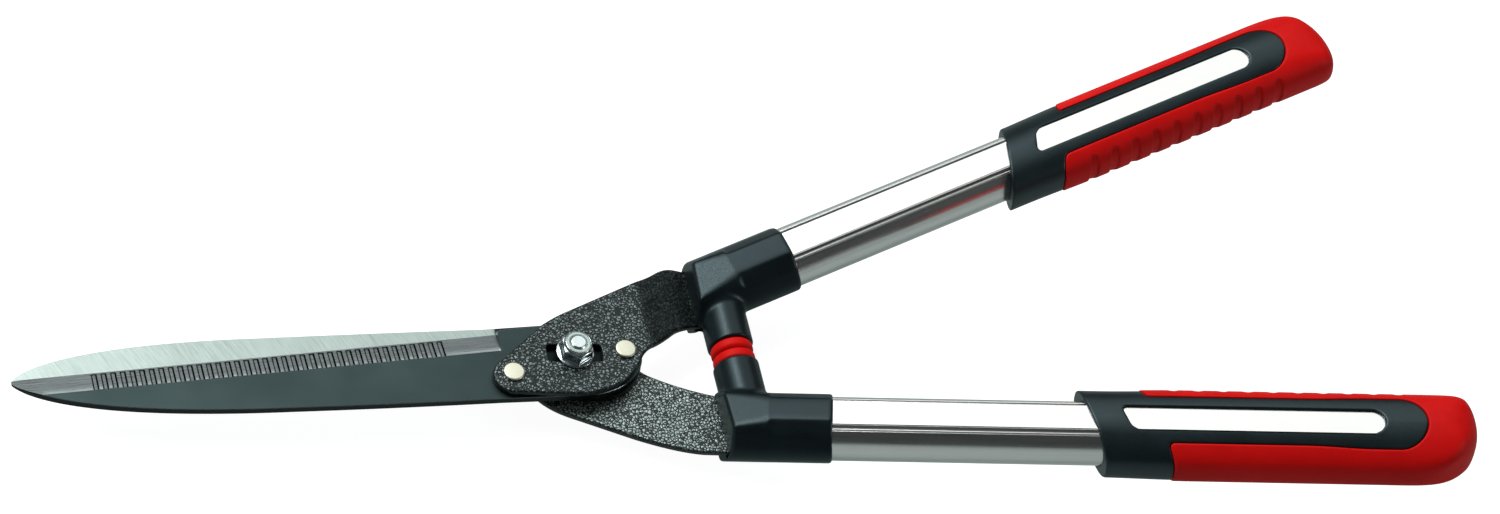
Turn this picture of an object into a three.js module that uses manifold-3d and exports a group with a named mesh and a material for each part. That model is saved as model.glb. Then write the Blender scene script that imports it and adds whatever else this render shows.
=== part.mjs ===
// Hedge shears with cranked, round aluminium handles.
//
// Millimetres, +Z up. The origin is the centre of the bolt head's outer face, on the pivot axis.
// The blades lie flat and point along -X; the handles run along +X, spread in Y and rise in Z.
// The upper half (+Y handle) carries the front blade, the lower half (-Y handle) the rear one.

import * as THREE from "three";
import { mergeVertices } from "three/addons/utils/BufferGeometryUtils.js";
import Module from "manifold-3d";

const wasm = await Module();
wasm.setup();

// ---------------------------------------------------------------- driving dimensions

const GAP = 0.3;                       // running gap between pieces that touch
const RAD = Math.PI / 180;

// Stack along the pivot, from the bolt head's outer face upward.
const headHeight = 5.3;
const washerThickness = 1.6;
const plateThickness = 3;
const bladeThickness = 3.5;
const washerBase = headHeight + GAP;
const rearPlateBase = washerBase + washerThickness + GAP;
const rearBladeBase = rearPlateBase + plateThickness + GAP;
const slidePlane = rearBladeBase + bladeThickness + GAP / 2;
const frontBladeBase = slidePlane + GAP / 2;
const frontPlateBase = frontBladeBase + bladeThickness + GAP;
const frontPlateTop = frontPlateBase + plateThickness;

// Blades. Each is given in the front blade's frame: cutting edge on +Y, spine on -Y.
const tipX = -239.7;
const edgeEnd = new THREE.Vector2(-31.5, 15.2);
const frontBlade = {
  tip: [-0.4, 1.8],                    // y of the spine and of the edge at the blunt tip
  edgeStart: new THREE.Vector2(-236, 2.3),
  spine: [[-232.7, -8.5], [-205.4, -19], [-125, -19.5]],
  halfWidth: 20.2,
};
const rearBlade = {
  tip: [-2, -0.4],
  edgeStart: new THREE.Vector2(-236, 0.6),
  spine: [[-234, -10.1], [-204.9, -19.4], [-135, -19]],
  halfWidth: 19.2,
};
const edgeLand = 0.4;                  // thickness left at the cutting edge
const bevelWidth = 10.3;
const notchCount = 38;
const notchPitch = 4.02;
const firstNotchX = -205.9;
const notchWidth = 1.3;
const notchDepth = 0.5;
const notchInset = 0.7;                // plain strip between the grooves and the edge

// Pivot hardware: M8 bolt, flanged lock nut with a nylon ring.
const boltRadius = 4;
const boltHole = boltRadius + GAP;
const boltProud = 8.6;                 // bolt end above the front plate
const hexAcrossFlats = 13;
const flangeRadius = 8.5;
const flangeHeight = 1.5;
const hexTop = 6.2;
const nutHeight = 8;
const collarRadius = 6;
const nylonOuter = 5.3;
const nylonThickness = 1.5;
const washerRadius = 9;

// Rivets that hold each blade to its arm, as placed on the front plate.
const rivetRadius = 2.5;
const rivetHeadRadius = 4.55;
const rivetHeadHeight = 1.2;
const rivetSpots = [new THREE.Vector2(-28.9, -8.9), new THREE.Vector2(22.9, 0.4)];

// Adjusting slot in the front plate.
const slotLength = 24.4;
const slotWidth = 8.6;
const slotCorner = 1.5;
const slotTurn = -3 * RAD;

// Handles: axis of the upper one. The lower one is its mirror image in Y.
const handleSpread = 14.25 * RAD;      // from the centre line, seen from above
const handleCrank = 14.32 * RAD;       // rise above the blade plane
const handleStart = new THREE.Vector3(50, 31.2, slidePlane - 7.84);

const tubeRadius = 13.9;
const tubeFlat = 12.6;                 // axis to each flat
const tubeWall = 1.6;
const tubeFrom = 36;
const tubeTo = 312;

const socketRadius = 16.2;
const socketFlat = 14.9;
const socketTo = 61.4;
const socketFrontX = 62;
const bossRadius = 10.3;
const bossCentre = new THREE.Vector2(74.6, slidePlane - 2.2);   // x, z
const bossEndY = 5.2;
const bumperRadius = 9.5;
const bumperStemRadius = 4;
const bumperStemDepth = 8;

const armStrip = [18.1, 47.8];         // y range of an arm where it enters its socket
const tangHalfWidth = 9;
const tangBendX = 66;
const tangEndX = 80;
const tangPinRadius = 2;
const tangPinAt = 24;
const tubeRivetAt = 50;
const tubeRivetRadius = 2;
const tubeRivetHead = 4;
const tubeRivetHeadHeight = 1.2;

// Grips, in the handle's own frame: distances along the axis, Y outward, Z to the front.
const gripOuter = 19.5;
const gripInner = 20.5;
const gripHalfThickness = 13.8;
const gripFlatHalf = 12;
const skinThickness = 2.4;
const gripFrom = 150;                  // any place in front of the slanted collar
const gripTo = 339;
const collarSlope = 0.35;
const collarAt = 173.4;
const skinSlope = 0.32;
const skinAt = 203.3;
const panelInner = 12;
const panelOuter = 13.6;
const panelEnd = 305.8;                // centre of the round end of the black panel
const windowHalfWidth = 5.8;
const windowFrom = 188.5;
const windowEnd = 293.9;               // centre of the round end of the window

// ---------------------------------------------------------------- solids

function solid(geometry) {
  const bare = geometry.index ? geometry.toNonIndexed() : geometry.clone();
  bare.deleteAttribute("normal");
  bare.deleteAttribute("uv");
  const merged = mergeVertices(bare, 1e-5);
  const body = new wasm.Mesh({
    numProp: 3,
    vertProperties: new Float32Array(merged.attributes.position.array),
    triVerts: new Uint32Array(merged.index.array),
  });
  return new wasm.Manifold(body);
}

function geometryOf(manifold) {
  const mesh = manifold.getMesh();
  const geometry = new THREE.BufferGeometry();
  geometry.setAttribute("position", new THREE.BufferAttribute(mesh.vertProperties, 3));
  geometry.setIndex(new THREE.BufferAttribute(mesh.triVerts, 1));
  return geometry;
}

// Mirror image in Y, with the triangles turned so that they still face out.
function mirrored(geometry) {
  const copy = geometry.clone();
  copy.scale(1, -1, 1);
  const index = copy.index.array;
  for (let i = 0; i < index.length; i += 3) {
    [index[i], index[i + 1]] = [index[i + 1], index[i]];
  }
  return copy;
}

// Half a turn about X: what lies above the slide plane goes below it and swaps sides.
function turnedOver(geometry) {
  return geometry.clone()
    .translate(0, 0, -slidePlane)
    .rotateX(Math.PI)
    .translate(0, 0, slidePlane);
}

// Slab with the given outline in XY between two heights.
function slab(shape, from, to, curveSegments = 6) {
  const options = { depth: to - from, bevelEnabled: false, curveSegments };
  return new THREE.ExtrudeGeometry(shape, options).translate(0, 0, from);
}

// Prism along X whose outline is given in (Y, Z).
function prismX(shape, from, to, curveSegments = 8) {
  return slab(shape, from, to, curveSegments)
    .applyMatrix4(new THREE.Matrix4().makeBasis(
      new THREE.Vector3(0, 1, 0), new THREE.Vector3(0, 0, 1), new THREE.Vector3(1, 0, 0)));
}

// Prism along Y whose outline is given in (X, Z).
function prismY(shape, from, to, curveSegments = 6) {
  return slab(shape, from, to, curveSegments)
    .rotateX(Math.PI / 2)
    .translate(0, from + to, 0);
}

function disc(x, y, radius, from, to, segments = 24) {
  return new THREE.CylinderGeometry(radius, radius, to - from, segments)
    .rotateX(Math.PI / 2)
    .translate(x, y, (from + to) / 2);
}

function roundBarY(x, z, radius, from, to, segments = 32) {
  return new THREE.CylinderGeometry(radius, radius, to - from, segments)
    .translate(x, (from + to) / 2, z);
}

function outline(points) {
  return new THREE.Shape(points.map(([x, y]) => new THREE.Vector2(x, y)));
}

function roundedRectangle(length, width, corner) {
  const x = length / 2;
  const y = width / 2;
  const shape = new THREE.Shape();
  shape.moveTo(-x + corner, -y);
  shape.lineTo(x - corner, -y);
  shape.absarc(x - corner, -y + corner, corner, -Math.PI / 2, 0);
  shape.lineTo(x, y - corner);
  shape.absarc(x - corner, y - corner, corner, 0, Math.PI / 2);
  shape.lineTo(-x + corner, y);
  shape.absarc(-x + corner, y - corner, corner, Math.PI / 2, Math.PI);
  shape.lineTo(-x, -y + corner);
  shape.absarc(-x + corner, -y + corner, corner, Math.PI, Math.PI * 1.5);
  return shape;
}

// ---------------------------------------------------------------- handle frame

// In the handle's own frame X runs along its axis, Y points outward and Z to the front.
const handleFrame = new THREE.Matrix4().makeBasis(
  new THREE.Vector3(
    Math.cos(handleCrank) * Math.cos(handleSpread),
    Math.cos(handleCrank) * Math.sin(handleSpread),
    Math.sin(handleCrank)),
  new THREE.Vector3(-Math.sin(handleSpread), Math.cos(handleSpread), 0),
  new THREE.Vector3(
    -Math.sin(handleCrank) * Math.cos(handleSpread),
    -Math.sin(handleCrank) * Math.sin(handleSpread),
    Math.cos(handleCrank)),
).setPosition(handleStart);

function onHandle(geometry) {
  return geometry.applyMatrix4(handleFrame);
}

// Circle cut by a flat in front and a flat behind.
function flattedCircle(radius, flat) {
  const side = Math.asin(flat / radius);
  const shape = new THREE.Shape();
  shape.absarc(0, 0, radius, -side, side);
  shape.absarc(0, 0, radius, Math.PI - side, Math.PI + side);
  return shape;
}

// ---------------------------------------------------------------- blades

// Outline of a blade: cutting edge on +Y, spine on -Y, round tang at +X.
function bladeOutline(blade) {
  const [first, second, full] = blade.spine;
  const shape = new THREE.Shape();
  shape.moveTo(tipX, blade.tip[0]);
  shape.bezierCurveTo(...first, ...second, ...full);
  shape.quadraticCurveTo(-80, -blade.halfWidth, -36, -blade.halfWidth + 0.3);
  shape.lineTo(2, -20.2);
  shape.bezierCurveTo(18, -20.2, 31, -11, 31, 0.5);
  shape.bezierCurveTo(31, 10, 22, 19, 10, 19);
  shape.lineTo(-9, 17.3);
  shape.lineTo(edgeEnd.x + 2.5, 15.7);
  shape.lineTo(edgeEnd.x, edgeEnd.y);
  shape.lineTo(blade.edgeStart.x, blade.edgeStart.y);
  shape.lineTo(tipX, blade.tip[1]);
  return shape;
}

// Wedge that removes the metal above the sloping bevel.
function bevelCutter(edgeStart) {
  const foot = frontBladeBase + edgeLand;
  const top = frontBladeBase + bladeThickness;
  const along = new THREE.Vector2().subVectors(edgeEnd, edgeStart);
  const section = outline([
    [0.6, foot],
    [0, foot],
    [-bevelWidth, top],
    [-bevelWidth, top + 1],
    [0.6, top + 1],
  ]);
  return prismX(section, -12, along.length())
    .rotateZ(along.angle())
    .translate(edgeStart.x, edgeStart.y, 0);
}

// Grooves ground across the bevel. They start short of the edge and run out past its foot.
function notchCutters(edgeStart) {
  const tilt = Math.atan((bladeThickness - edgeLand) / bevelWidth);
  const length = bevelWidth + 1;
  const cutters = [];
  for (let i = 0; i < notchCount; i += 1) {
    const x = firstNotchX + i * notchPitch;
    const share = (x - edgeStart.x) / (edgeEnd.x - edgeStart.x);
    const edgeY = edgeStart.y + share * (edgeEnd.y - edgeStart.y);
    cutters.push(new THREE.BoxGeometry(notchWidth, length, 2)
      .translate(0, -notchInset - length / 2, 1 - notchDepth)
      .rotateX(-tilt)
      .translate(x, edgeY, frontBladeBase + edgeLand));
  }
  return cutters;
}

function bladeGeometry(blade) {
  const plate = slab(bladeOutline(blade), frontBladeBase, frontBladeBase + bladeThickness, 10);
  let body = solid(plate).subtract(solid(bevelCutter(blade.edgeStart)));
  for (const cutter of notchCutters(blade.edgeStart)) {
    body = body.subtract(solid(cutter));
  }
  return drilled(body, true);
}

// Pivot hole and the two rivet holes of a blade or an arm.
function drilled(body, withPivot) {
  const low = frontBladeBase - 1;
  const high = frontPlateTop + 1;
  let result = body;
  if (withPivot) {
    result = result.subtract(solid(disc(0, 0, boltHole, low, high)));
  }
  for (const spot of rivetSpots) {
    result = result.subtract(solid(disc(spot.x, spot.y, rivetRadius + GAP, low, high, 20)));
  }
  return geometryOf(result);
}

// ---------------------------------------------------------------- arms

// Plan outline of an arm, from the nose round rivet 1 to the strip that enters the socket.
// Each edge is a list of curves; both arms are drawn on the +Y side.
function armOutline(drawInnerEdge, drawOuterEdge) {
  const nose = new THREE.Vector2(rivetSpots[0].x, rivetSpots[0].y - 0.9);
  const noseRadius = 9;
  const shape = new THREE.Shape();
  shape.moveTo(nose.x + 1, nose.y - noseRadius);
  shape.lineTo(-2, -21.2);
  drawInnerEdge(shape);
  shape.lineTo(66, armStrip[0] + 1);
  shape.lineTo(66, armStrip[1] + 0.6);
  drawOuterEdge(shape);
  shape.lineTo(-33, -2);
  shape.absarc(nose.x, nose.y, noseRadius, 0.66 * Math.PI, 1.55 * Math.PI);
  return shape;
}

function frontArmOutline() {
  return armOutline(
    (shape) => {
      shape.bezierCurveTo(14, -21.5, 24, -14, 29.6, -4.2);
      shape.quadraticCurveTo(32, 0.6, 37, 3.1);
      shape.quadraticCurveTo(43, 7, 49, 12.4);
      shape.quadraticCurveTo(53, 15.6, 60.4, 18);
    },
    (shape) => {
      shape.lineTo(57, 48.3);
      shape.quadraticCurveTo(52, 48.2, 46, 43.6);
      shape.quadraticCurveTo(40, 39, 33, 35.8);
      shape.lineTo(-1, 21.4);
      shape.quadraticCurveTo(-6, 19.3, -12.4, 15.2);
    },
  );
}

// The rear arm stays flat, and is wider than the front one across the hub.
function rearArmOutline() {
  return armOutline(
    (shape) => {
      shape.bezierCurveTo(14, -21.5, 25, -13, 27.5, -3);
      shape.quadraticCurveTo(29, 3.6, 36.8, 7.6);
      shape.quadraticCurveTo(47, 13.4, 60.4, 17.7);
    },
    (shape) => {
      shape.quadraticCurveTo(58, 47.9, 52, 47.3);
      shape.quadraticCurveTo(40, 45.5, 22, 37.5);
      shape.lineTo(-2, 26);
      shape.quadraticCurveTo(-12, 21.6, -17, 15.4);
    },
  );
}

// Narrow end of the arm inside the socket, centred on the handle's axis.
function tangOutline(margin) {
  const half = tangHalfWidth + margin;
  const middle = (x) => handleStart.y + (x - handleStart.x) * Math.tan(handleSpread);
  return outline([
    [64, middle(64) - half],
    [tangEndX + margin, middle(tangEndX) - half],
    [tangEndX + margin, middle(tangEndX) + half],
    [64, middle(64) + half],
  ]);
}

// Side view of an arm: flat plate, optional step down to the rear arm's level, and the crank.
// The margin makes it thicker on both faces.
function armProfile(stepped, margin) {
  const rise = Math.tan(handleCrank) / Math.cos(handleSpread);
  const low = rearPlateBase - margin;
  const high = rearPlateBase + plateThickness + margin;
  const end = tangEndX + 2;
  const lift = (end - tangBendX) * rise;
  const shape = new THREE.Shape();
  if (stepped) {
    const front = frontPlateBase - margin;
    const frontHigh = frontPlateTop + margin;
    shape.moveTo(-45, front);
    shape.lineTo(30.5, front);
    shape.bezierCurveTo(39, front, 44, low, 54, low);
    shape.lineTo(tangBendX, low);
    shape.lineTo(end, low + lift);
    shape.lineTo(end, high + lift);
    shape.lineTo(tangBendX - 0.4, high);
    shape.lineTo(55, high);
    shape.bezierCurveTo(47, high, 41.5, frontHigh, 33, frontHigh);
    shape.lineTo(-45, frontHigh);
    return shape;
  }
  shape.moveTo(-45, low);
  shape.lineTo(tangBendX, low);
  shape.lineTo(end, low + lift);
  shape.lineTo(end, high + lift);
  shape.lineTo(tangBendX - 0.4, high);
  shape.lineTo(-45, high);
  return shape;
}

function armSolid(plan, stepped) {
  const plate = solid(slab(plan, -5, 40, 5));
  const strip = solid(slab(tangOutline(0), -5, 40));
  const side = solid(prismY(armProfile(stepped, 0), -60, 70));
  return plate.add(strip).intersect(side);
}

// Pocket for the arm in the socket: the arm made thicker by the running gap all round.
function armPocket(stepped) {
  const entry = solid(slab(outline([
    [socketFrontX - 1, armStrip[0] - 1],
    [66.5, armStrip[0] + 0.4],
    [66.5, armStrip[1] + 1.6],
    [socketFrontX - 1, armStrip[1] + 1],
  ]), -5, 40));
  const strip = solid(slab(tangOutline(GAP), -5, 40));
  const side = solid(prismY(armProfile(stepped, GAP), -60, 70));
  return entry.add(strip).intersect(side);
}

function frontArmGeometry() {
  const slot = slab(roundedRectangle(slotLength, slotWidth, slotCorner), 0, 40, 4)
    .rotateZ(slotTurn);
  const arm = armSolid(frontArmOutline(), true)
    .subtract(solid(slot))
    .subtract(solid(tangPinBar(tangPinRadius + GAP, -30, 30)));
  return drilled(arm, false);
}

// The rear arm lies on the -Y side, so it is drawn on +Y and mirrored.
function rearArmGeometry() {
  let arm = armSolid(rearArmOutline(), false)
    .subtract(solid(disc(0, 0, boltHole, 0, 40)))
    .subtract(solid(tangPinBar(tangPinRadius + GAP, -30, 30)));
  for (const spot of rivetSpots) {
    arm = arm.subtract(solid(disc(spot.x, spot.y, rivetRadius + GAP, 0, 40, 20)));
  }
  return mirrored(geometryOf(arm));
}

// ---------------------------------------------------------------- rivets and pivot hardware

// Button head on the plate, shank through plate and blade, flush at the slide plane.
function bladeRivetGeometry(spot) {
  const seat = frontPlateTop + GAP;
  const profile = [
    [0, frontBladeBase + 0.2],
    [rivetRadius, frontBladeBase + 0.2],
    [rivetRadius, seat],
    [rivetHeadRadius, seat],
    [rivetHeadRadius, seat + rivetHeadHeight - 0.4],
    [rivetHeadRadius - 0.5, seat + rivetHeadHeight],
    [0, seat + rivetHeadHeight],
  ];
  return turned(profile, 20).translate(spot.x, spot.y, 0);
}

// Body of revolution about the Z axis from (radius, height) pairs.
function turned(profile, segments) {
  const points = profile.map(([radius, height]) => new THREE.Vector2(radius, height));
  return new THREE.LatheGeometry(points, segments).rotateX(Math.PI / 2);
}

function hexagon(acrossFlats) {
  const corner = acrossFlats / 2 / Math.cos(Math.PI / 6);
  const points = [];
  for (let i = 0; i < 6; i += 1) {
    const angle = (i + 0.5) * Math.PI / 3;
    points.push([corner * Math.cos(angle), corner * Math.sin(angle)]);
  }
  return outline(points);
}

function boltGeometry() {
  const end = frontPlateTop + boltProud;
  const shank = turned([
    [0, headHeight - 1],
    [boltRadius, headHeight - 1],
    [boltRadius, end - 1],
    [boltRadius - 1, end],
    [0, end],
  ], 32);
  const head = slab(hexagon(hexAcrossFlats), 0, headHeight);
  return geometryOf(solid(head).add(solid(shank)));
}

function washerGeometry() {
  return turned([
    [boltHole, washerBase],
    [washerRadius, washerBase],
    [washerRadius, washerBase + washerThickness],
    [boltHole, washerBase + washerThickness],
    [boltHole, washerBase],
  ], 36);
}

function lockNutGeometry() {
  const base = frontPlateTop + GAP;
  const nylonBase = base + nutHeight - 1.9;
  const hex = solid(slab(hexagon(hexAcrossFlats), base, base + hexTop));
  const flange = solid(turned([
    [0, base],
    [flangeRadius, base],
    [flangeRadius, base + 0.7],
    [6.4, base + flangeHeight + 0.4],
    [0, base + flangeHeight + 0.4],
  ], 36));
  const collar = solid(turned([
    [0, base + 1],
    [collarRadius, base + 1],
    [collarRadius, base + nutHeight - 0.6],
    [collarRadius - 0.6, base + nutHeight],
    [0, base + nutHeight],
  ], 36));
  const bore = solid(disc(0, 0, boltHole, base - 1, base + nutHeight + 1, 36));
  const seat = solid(disc(0, 0, nylonOuter + 0.2, nylonBase, base + nutHeight + 1, 36));
  return geometryOf(hex.add(flange).add(collar).subtract(bore).subtract(seat));
}

function nylonRingGeometry() {
  const base = frontPlateTop + GAP + nutHeight - 1.9 + 0.2;
  return turned([
    [boltHole, base],
    [nylonOuter, base],
    [nylonOuter, base + nylonThickness],
    [boltHole, base + nylonThickness],
    [boltHole, base],
  ], 36);
}

// ---------------------------------------------------------------- handle pieces (upper half)

// Bar square to the handle's flats, through the tang.
function tangPinBar(radius, from, to) {
  return onHandle(disc(tangPinAt, 0, radius, from, to, 20));
}

function tangPinGeometry() {
  return tangPinBar(tangPinRadius, -socketFlat + 0.2, 8);
}

// Blind rivet through the back of the socket into the tube.
function tubeRivetGeometry() {
  const head = -socketFlat - GAP;
  const profile = [
    [0, head - tubeRivetHeadHeight],
    [tubeRivetHead - 0.8, head - tubeRivetHeadHeight],
    [tubeRivetHead, head - 0.5],
    [tubeRivetHead, head],
    [tubeRivetRadius, head],
    [tubeRivetRadius, -tubeFlat + tubeWall + 1.5],
    [0, -tubeFlat + tubeWall + 1.5],
  ];
  return onHandle(turned(profile, 20).translate(tubeRivetAt, 0, 0));
}

function tubeGeometry() {
  const section = flattedCircle(tubeRadius, tubeFlat);
  section.holes.push(flattedCircle(tubeRadius - tubeWall, tubeFlat - tubeWall));
  const tube = solid(prismX(section, tubeFrom, tubeTo));
  const hole = solid(disc(tubeRivetAt, 0, tubeRivetRadius + GAP, -30, 0, 20));
  return onHandle(geometryOf(tube.subtract(hole)));
}

function socketGeometry(stepped) {
  const section = flattedCircle(socketRadius, socketFlat);
  const body = solid(onHandle(prismX(section, -8, socketTo, 9)));
  const frontCut = solid(slab(outline([
    [-20, -80], [socketFrontX, -80], [socketFrontX, 120], [-20, 120],
  ]), -60, 80));
  const boss = solid(roundBarY(bossCentre.x, bossCentre.y, bossRadius, bossEndY, 34, 32));
  const bore = flattedCircle(tubeRadius + GAP, tubeFlat + GAP);
  const stemHole = roundBarY(bossCentre.x, bossCentre.y, bumperStemRadius + GAP,
    bossEndY - 1, bossEndY + bumperStemDepth + GAP, 24);
  return geometryOf(body
    .subtract(frontCut)
    .add(boss)
    .subtract(solid(onHandle(prismX(bore, tubeFrom - GAP, socketTo + 5))))
    .subtract(solid(stemHole))
    .subtract(armPocket(stepped))
    .subtract(solid(tangPinBar(tangPinRadius + GAP, -30, 8 + GAP)))
    .subtract(solid(onHandle(disc(tubeRivetAt, 0, tubeRivetRadius + GAP, -30, 0, 20)))));
}

// Rubber disc with a stem pressed into the boss. The two discs meet on the centre plane.
function bumperGeometry() {
  const disk = roundBarY(bossCentre.x, bossCentre.y, bumperRadius, GAP / 2, bossEndY - GAP, 36);
  const stem = roundBarY(bossCentre.x, bossCentre.y, bumperStemRadius,
    bossEndY - 1, bossEndY + bumperStemDepth, 24);
  return geometryOf(solid(disk).add(solid(stem)));
}

// Section of the grip in (Y, Z), made smaller all round by the inset.
function gripSection(inset) {
  const outer = gripOuter - inset;
  const inner = -gripInner + inset;
  const height = gripHalfThickness - inset;
  const flat = gripFlatHalf - inset * 0.5;
  const shape = new THREE.Shape();
  shape.moveTo(-flat, -height);
  shape.lineTo(flat, -height);
  shape.bezierCurveTo(flat + 4, -height * 0.9, outer, -height * 0.5, outer, 0);
  shape.bezierCurveTo(outer, height * 0.5, flat + 4, height * 0.9, flat, height);
  shape.lineTo(-flat, height);
  shape.bezierCurveTo(-flat - 4, height * 0.9, inner, height * 0.5, inner, 0);
  shape.bezierCurveTo(inner, -height * 0.5, -flat - 4, -height * 0.9, -flat, -height);
  return shape;
}

// Plan outline of the grip: slanted front, large outer corner and smaller inner one at the end.
function gripPlan(inset) {
  const outer = gripOuter - inset + 1;
  const inner = -gripInner + inset - 1;
  const end = gripTo - inset;
  const front = (y) => collarAt + collarSlope * y;
  const shape = new THREE.Shape();
  shape.moveTo(front(inner), inner);
  shape.lineTo(end - 16, inner);
  shape.bezierCurveTo(end - 5, inner, end, -13, end, -5);
  shape.bezierCurveTo(end, 7, end - 16, outer, end - 36, outer);
  shape.lineTo(front(outer), outer);
  return shape;
}

// Side outline of the grip in (X, Z), round at the far end.
function gripSide(inset) {
  const end = gripTo - inset;
  const height = gripHalfThickness + 1 - inset;
  const shape = new THREE.Shape();
  shape.moveTo(gripFrom, -height);
  shape.lineTo(end - 15, -height);
  shape.quadraticCurveTo(end, -height, end, 0);
  shape.quadraticCurveTo(end, height, end - 15, height);
  shape.lineTo(gripFrom, height);
  return shape;
}

function gripBody(inset) {
  const section = solid(prismX(gripSection(inset), gripFrom, gripTo + 10, 4));
  const plan = solid(slab(gripPlan(inset), -30, 30, 6));
  const side = solid(prismY(gripSide(inset), -30, 30, 4));
  return section.intersect(plan).intersect(side);
}

// Black panel in front and behind, with a round end, joined to the collar.
function panelPrism(margin) {
  const outer = panelOuter + margin;
  const inner = -panelInner - margin;
  const line = (y) => skinAt + margin + skinSlope * y;
  const reach = gripInner + 5;
  const collar = outline([
    [gripFrom, -reach], [line(-reach), -reach], [line(reach), reach], [gripFrom, reach],
  ]);
  const panel = new THREE.Shape();
  panel.moveTo(gripFrom, inner);
  panel.lineTo(panelEnd, inner);
  panel.absarc(panelEnd, (outer + inner) / 2, (outer - inner) / 2, -Math.PI / 2, Math.PI / 2);
  panel.lineTo(gripFrom, outer);
  return solid(slab(collar, -30, 30)).add(solid(slab(panel, -30, 30, 7)));
}

// Opening in front and behind through which the tube's flat shows.
function windowOutline() {
  const half = windowHalfWidth;
  const shape = new THREE.Shape();
  shape.moveTo(windowFrom - 2, -half);
  shape.lineTo(windowEnd, -half);
  shape.absarc(windowEnd, 0, half, -Math.PI / 2, Math.PI / 2);
  shape.lineTo(windowFrom + 6.5, half);
  shape.quadraticCurveTo(windowFrom + 2.5, half, windowFrom + 1, half - 3.5);
  return shape;
}

function gripCoreGeometry() {
  const bore = flattedCircle(tubeRadius + GAP, tubeFlat + GAP);
  const window = windowOutline();
  const core = gripBody(0)
    .intersect(gripBody(skinThickness).add(panelPrism(0)))
    .subtract(solid(prismX(bore, gripFrom - 10, tubeTo + GAP)))
    .subtract(solid(slab(window, tubeFlat - 1, 30, 5)))
    .subtract(solid(slab(window, -30, -tubeFlat + 1, 5)));
  return onHandle(geometryOf(core));
}

function gripSkinGeometry() {
  const skin = gripBody(0)
    .subtract(gripBody(skinThickness - GAP))
    .subtract(panelPrism(GAP));
  return onHandle(geometryOf(skin));
}

// ---------------------------------------------------------------- materials

function groundSteel() {
  return new THREE.MeshStandardMaterial({ color: 0x9aa5a2, roughness: 0.38, metalness: 1 });
}

function darkSteel() {
  return new THREE.MeshStandardMaterial({ color: 0x55605f, roughness: 0.45, metalness: 1 });
}

function hammertonePaint() {
  return new THREE.MeshStandardMaterial({ color: 0x3c4646, roughness: 0.4, metalness: 0.5 });
}

function zincPlate() {
  return new THREE.MeshStandardMaterial({ color: 0xd5dbd8, roughness: 0.25, metalness: 1 });
}

function rivetSteel() {
  return new THREE.MeshStandardMaterial({ color: 0xd8d8cc, roughness: 0.4, metalness: 1 });
}

function nylon() {
  return new THREE.MeshStandardMaterial({ color: 0x9fb0a8, roughness: 0.5, metalness: 0 });
}

function blackPlastic() {
  return new THREE.MeshStandardMaterial({ color: 0x2b3436, roughness: 0.55, metalness: 0 });
}

function redRubber() {
  return new THREE.MeshStandardMaterial({ color: 0xc4160f, roughness: 0.6, metalness: 0 });
}

function anodisedAluminium() {
  return new THREE.MeshStandardMaterial({ color: 0xdfe4e2, roughness: 0.3, metalness: 1 });
}

// ---------------------------------------------------------------- assembly

const hedgeShears = new THREE.Group();

function place(name, geometry, material) {
  const mesh = new THREE.Mesh(geometry, material);
  mesh.name = name;
  hedgeShears.add(mesh);
}

place("front_blade", bladeGeometry(frontBlade), darkSteel());
place("rear_blade", turnedOver(bladeGeometry(rearBlade)), groundSteel());
place("front_arm", frontArmGeometry(), hammertonePaint());
place("rear_arm", rearArmGeometry(), hammertonePaint());

rivetSpots.forEach((spot, i) => {
  const geometry = bladeRivetGeometry(spot);
  place(`front_rivet_${i + 1}`, geometry, rivetSteel());
  place(`rear_rivet_${i + 1}`, turnedOver(geometry), rivetSteel());
});

place("pivot_bolt", boltGeometry(), zincPlate());
place("bolt_washer", washerGeometry(), zincPlate());
place("lock_nut", lockNutGeometry(), zincPlate());
place("nut_ring", nylonRingGeometry(), nylon());

const handlePieces = [
  ["tube", tubeGeometry, anodisedAluminium],
  ["bumper", bumperGeometry, redRubber],
  ["grip_core", gripCoreGeometry, blackPlastic],
  ["grip_skin", gripSkinGeometry, redRubber],
  ["tang_pin", tangPinGeometry, zincPlate],
  ["tube_rivet", tubeRivetGeometry, zincPlate],
];
for (const [name, build, material] of handlePieces) {
  const geometry = geometryOf(solid(build()));
  place(`upper_${name}`, geometry, material());
  place(`lower_${name}`, mirrored(geometry), material());
}
place("upper_socket", socketGeometry(true), blackPlastic());
place("lower_socket", mirrored(socketGeometry(false)), blackPlastic());

export default hedgeShears;
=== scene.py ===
"""Hedge shears: the detailed model, its materials, light and camera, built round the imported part.

Shapes are worked out in millimetres in the part's own frame and put into the scene in metres.
Most moulded and pressed pieces are surfaces of signed distance fields, so that their edges are
rounded as real ones are. Blades, tubes and turned pieces are lofted directly.
"""

import math

import bmesh
import bpy
import numpy as np
from mathutils import Matrix, Vector

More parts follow.
